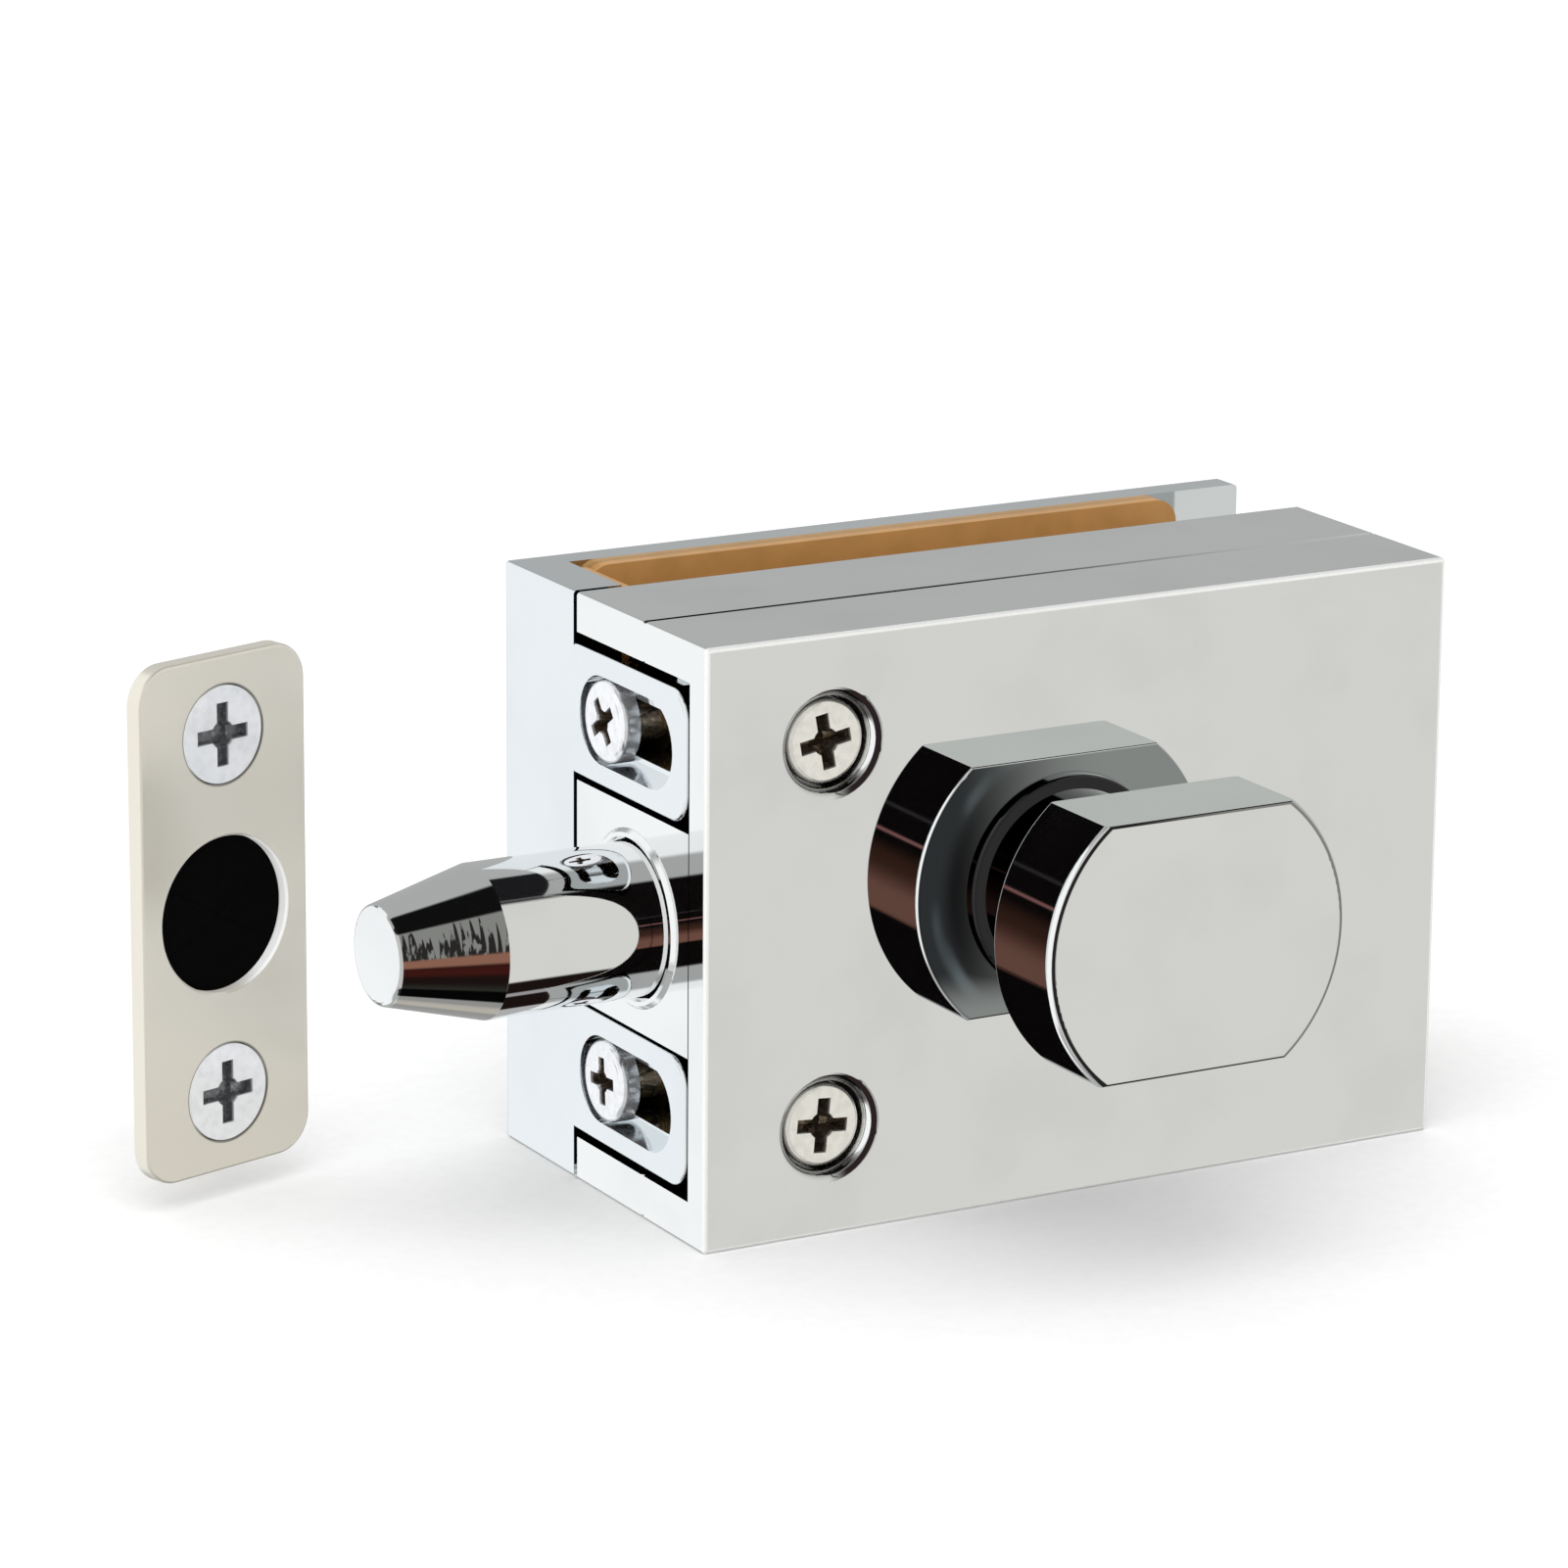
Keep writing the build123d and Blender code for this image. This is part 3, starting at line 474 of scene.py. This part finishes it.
def bolt_chrome(name):
    """The bolt's chrome, whose cone carries painted reflections: the dark bands and short streaks of the
    photograph.

    The bands lie at angles about the bolt's axis, in degrees up from the side that faces the room.
    """
    # Colours of the painted reflections on the cone, and of the painted highlight under it.
    reflected_band_grey = (0.36, 0.367, 0.355, 1)
    streak_black = (0.022, 0.019, 0.019, 1)
    orange_brown = (0.40, 0.19, 0.13, 1)
    dark_red = (0.0725, 0.014, 0.011, 1)
    dark_brown = (0.018, 0.010, 0.009, 1)
    dark_green = (0.043, 0.049, 0.043, 1)
    under_highlight_grey = (0.58, 0.57, 0.55, 1)
    streak_low = 7.0
    streak_high = 38.0
    streak_soft = 3.0
    band_low = -36.0
    band_high = 60.0
    material, g, shader, place, colour, _ = polished(name)
    x, y, z = g.parts_of(place)
    radians = g.math("ARCTAN2", z, g.math("SUBTRACT", bolt_axis_y, y))
    angle = g.math("MULTIPLY", radians, 180 / math.pi)
    on_cone = g.band(x, cone_tip + 0.5 * mm, cone_end, 0.04 * mm)
    along = g.noise(g.stretched(place, 1700.0, 0.0, 0.0), 1.0, 1.0)
    streak_top = g.ramp(along, 0.38, 0.60, streak_low, streak_high)
    broken = g.ramp(g.noise(g.stretched(place, 2600.0, 900.0, 900.0), 1.0), 0.34, 0.46)
    under_top = g.ramp(angle, streak_top, g.math("SUBTRACT", streak_top, streak_soft))
    grey = g.mix(g.product(under_top, broken, 0.96), reflected_band_grey, streak_black)
    reflection_paint = g.mix(g.ramp(angle, -28.0, -16.0), dark_green, dark_brown)
    reflection_paint = g.mix(g.band(angle, -10.0, -2.0, 3.0), reflection_paint, dark_red)
    reflection_paint = g.mix(g.band(angle, -1.0, 8.0, 1.5), reflection_paint, orange_brown)
    reflection_paint = g.mix(g.ramp(angle, 5.5, 8.5), reflection_paint, grey)
    painted = g.product(on_cone, g.band(angle, band_low, band_high, 1.0))
    below = g.product(on_cone, g.ramp(angle, band_low + 1.0, band_low - 1.0))
    colour = g.mix(below, colour, under_highlight_grey)
    g.feed(g.mix(painted, colour, reflection_paint), shader.inputs["Base Color"])
    return material


def screw_steel(name, colour, recess_shade_colour, points, inwards, roughness=0.16, metallic=0.8):
    """Plated steel with turning marks on the heads, and painted shade in the driver recesses."""
    material, g, shader = start_material(name, metallic, colour, roughness)
    place = g.object_place()
    recess = 0.0
    rings = 0.0
    for point in points:
        depth, away = g.depth_and_distance(place, point, inwards)
        beside = g.ramp(away, screw_recess_radius + 0.05 * mm, screw_recess_radius - 0.05 * mm)
        # The recess mask is where painted shade darkens the driver recess.
        recess = g.math("MAXIMUM", recess, g.product(g.ramp(depth, 0.10 * mm, 0.32 * mm), beside))
        near = g.ramp(away, 5.0 * mm, 4.9 * mm)
        wave = g.math("SINE", g.math("MULTIPLY", away, 2 * math.pi / turning_mark_pitch))
        rings = g.math("ADD", rings, g.product(near, wave))
    spots = g.ramp(g.noise(place, 1400.0, 3.0), 0.35, 0.75)
    dull = tuple(0.90 * part for part in colour[:3]) + (1,)
    finish = g.mix(spots, colour, dull)
    # The painted shade in the recesses is mottled with the plain metal colour.
    mottled_recess_shade = g.mix(g.ramp(g.noise(place, 2600.0), 0.50, 0.68), recess_shade_colour, colour)
    g.feed(g.mix(recess, finish, g.mix(0.82, mottled_recess_shade, recess_shade_colour)), shader.inputs["Base Color"])
    g.feed(g.bump(rings, 0.10, 0.002 * mm), shader.inputs["Normal"])
    return material


def strike_satin(name, colour, roughness, metallic):
    """Fine satin nickel, with thin dark rings of painted shade round the screws' heads, and a painted
    highlight on the right wall of the hole.
    """
    ring_shade_brown = (0.13, 0.11, 0.10, 1)
    wall_highlight_white = (0.98, 0.98, 0.97, 1)
    wall_highlight_metallic = 0.15
    material, g, shader = start_material(name, metallic, colour, roughness)
    place = g.object_place()
    grain = g.noise(place, 5200.0)
    cloud = g.ramp(g.noise(place, 45.0), 0.3, 0.7)
    dull = tuple(0.965 * part for part in colour[:3]) + (1,)
    # Painted shade: a thin dark ring round each screw's head.
    shade_ring = 0.0
    for point in strike_head_points:
        _, away = g.depth_and_distance(place, point, into_strike)
        shade_ring = g.math("MAXIMUM", shade_ring, g.band(away, 4.00 * mm, 4.28 * mm, 0.08 * mm))
    finish = g.mix(g.math("MULTIPLY", shade_ring, 0.8), g.mix(cloud, colour, dull), ring_shade_brown)
    _, from_hole = g.depth_and_distance(place, strike_centre, into_strike)
    x, _, _ = g.parts_of(place)
    # Painted highlight on the right wall of the hole, whiter and less metallic there.
    on_wall = g.ramp(from_hole, strike_hole_radius + 0.25 * mm, strike_hole_radius + 0.11 * mm)
    highlighted_wall = g.product(on_wall, g.ramp(x, strike_centre.x, strike_centre.x + 4 * mm))
    g.feed(g.mix(highlighted_wall, finish, wall_highlight_white), shader.inputs["Base Color"])
    g.feed(g.ramp(highlighted_wall, 0.0, 1.0, metallic, wall_highlight_metallic), shader.inputs["Metallic"])
    g.feed(g.ramp(grain, 0.3, 0.7, roughness - 0.01, roughness + 0.01), shader.inputs["Roughness"])
    return material


def plain(name, metallic, colour, roughness, grain=900.0, depth=0.08):
    """A simple finish with a fine grain."""
    material, g, shader = start_material(name, metallic, colour, roughness)
    grain_height = g.noise(g.object_place(), grain, 3.0)
    dark = tuple(0.86 * part for part in colour[:3]) + (1,)
    g.feed(g.mix(g.ramp(grain_height, 0.3, 0.75), dark, colour), shader.inputs["Base Color"])
    g.feed(g.bump(grain_height, depth, 0.04 * mm), shader.inputs["Normal"])
    return material, shader


def rubber(name):
    """Dead black rubber."""
    # Near black, so that the seal in the strike's hole also stands in for the shade inside it.
    material, shader = plain(name, 0.0, (0.0025, 0.0025, 0.0025, 1), 0.95, 1500.0, 0.05)
    shader.inputs["Specular IOR Level"].default_value = 0.03
    return material


def amber(name):
    """Amber gasket sheet, a little clear."""
    material, shader = plain(name, 0.0, (0.72, 0.38, 0.12, 1), 0.38, 260.0, 0.05)
    shader.inputs["Transmission Weight"].default_value = 0.25
    shader.inputs["IOR"].default_value = 1.45
    return material


def make_materials():
    beige = (0.97, 0.945, 0.88, 1)
    bright = (0.93, 0.935, 0.96, 1)
    brown_recess_shade = (0.16, 0.12, 0.08, 1)
    grey_recess_shade = (0.16, 0.165, 0.17, 1)
    out = (0, 1, 0)
    right = (1, 0, 0)
    return {
        "front_chrome": front_chrome("front_chrome"),
        "rear_chrome": chrome("rear_chrome", (0.80, 0.83, 0.845, 1), (0.765, 0.80, 0.82, 1)),
        "knob_chrome": knob_chrome("knob_chrome"),
        "bolt_chrome": bolt_chrome("bolt_chrome"),
        "polished_chrome": chrome("polished_chrome"),
        "satin_nickel": strike_satin("satin_nickel", (0.80, 0.76, 0.67, 1), 0.26, 0.6),
        "clamp_screw_nickel": screw_steel("clamp_screw_nickel", beige, brown_recess_shade, clamp_head_points, out),
        "tab_screw_steel": screw_steel("tab_screw_steel", bright, brown_recess_shade, tab_head_points, right),
        "strike_screw_steel": screw_steel("strike_screw_steel", bright, grey_recess_shade, strike_head_points,
                                          into_strike, metallic=0.6),
        "bright_screw_steel": plain("bright_screw_steel", 1.0, (0.82, 0.82, 0.84, 1), 0.25)[0],
        "nickel_screw_steel": plain("nickel_screw_steel", 1.0, (0.72, 0.69, 0.62, 1), 0.30)[0],
        "inner_steel": plain("inner_steel", 1.0, (0.50, 0.50, 0.51, 1), 0.35)[0],
        "brass_insert": plain("brass_insert", 1.0, (0.78, 0.60, 0.30, 1), 0.3)[0],
        "amber_gasket": amber("amber_gasket"),
        "bearing_plastic": plain("bearing_plastic", 0.0, (0.85, 0.84, 0.80, 1), 0.45)[0],
        "black_rubber": rubber("black_rubber"),
    }


def paint_nodes(materials):
    """Gives each CAD node the finish of its slot, or its own where it has one."""
    own = {
        "front_cover": "front_chrome",
        "rear_cover": "rear_chrome",
        "turn_knob": "knob_chrome",
        "deadbolt": "bolt_chrome",
        "clamp_screws": "clamp_screw_nickel",
        "tab_screws": "tab_screw_steel",
        "strike_screws": "strike_screw_steel",
    }
    for row in frame["record"]["subparts"]:
        name = row["node"]
        finish = materials[own.get(name, row["material_slot"])]
        mesh = nodes[name].data
        if not mesh.materials:
            mesh.materials.append(finish)
        for index in range(len(mesh.materials)):
            mesh.materials[index] = finish


def make_seal_lips(finish):
    """Six thin lips in front of the seal, each a little over the next, which close the star's cuts. With the
    seal, in dead black rubber, they fill the strike's hole with a black that stands in for the shade inside
    it.
    """
    lips_round = 6
    radius = strike_hole_radius - 0.15 * mm
    half_angle = math.radians(31)
    thickness = 0.05 * mm
    low_level = -0.98 * mm
    high_level = -0.91 * mm
    steps = 12
    out = -into_strike
    up = Vector((0, 0, 1))
    across = up.cross(out)
    mesh = bpy.data.meshes.new("seal_lips")
    made = bmesh.new()
    for lip in range(lips_round):
        level = low_level if lip % 2 else high_level
        middle = 2 * math.pi * lip / lips_round
        outline = [Vector((0, 0))]
        for step in range(steps + 1):
            turn = middle - half_angle + 2 * half_angle * step / steps
            outline.append(radius * Vector((math.cos(turn), math.sin(turn))))
        rows = []
        for height in (level, level + thickness):
            middle_place = strike_centre + height * out
            rows.append([made.verts.new(middle_place + spot.x * across + spot.y * up) for spot in outline])
        back, front = rows
        made.faces.new(front)
        made.faces.new(back[::-1])
        for index in range(len(outline)):
            after = (index + 1) % len(outline)
            made.faces.new((back[index], back[after], front[after], front[index]))
    bmesh.ops.recalc_face_normals(made, faces=made.faces)
    made.to_mesh(mesh)
    made.free()
    lips = add_object("seal_lips", mesh)
    mesh.materials.append(finish)
    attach(lips, "strike")
    lips.visible_glossy = False


make_camera()
make_studio()
make_floor()
make_front_mirror()
make_softbox()
hide_from_metal()
materials = make_materials()
paint_nodes(materials)
make_seal_lips(materials["black_rubber"])
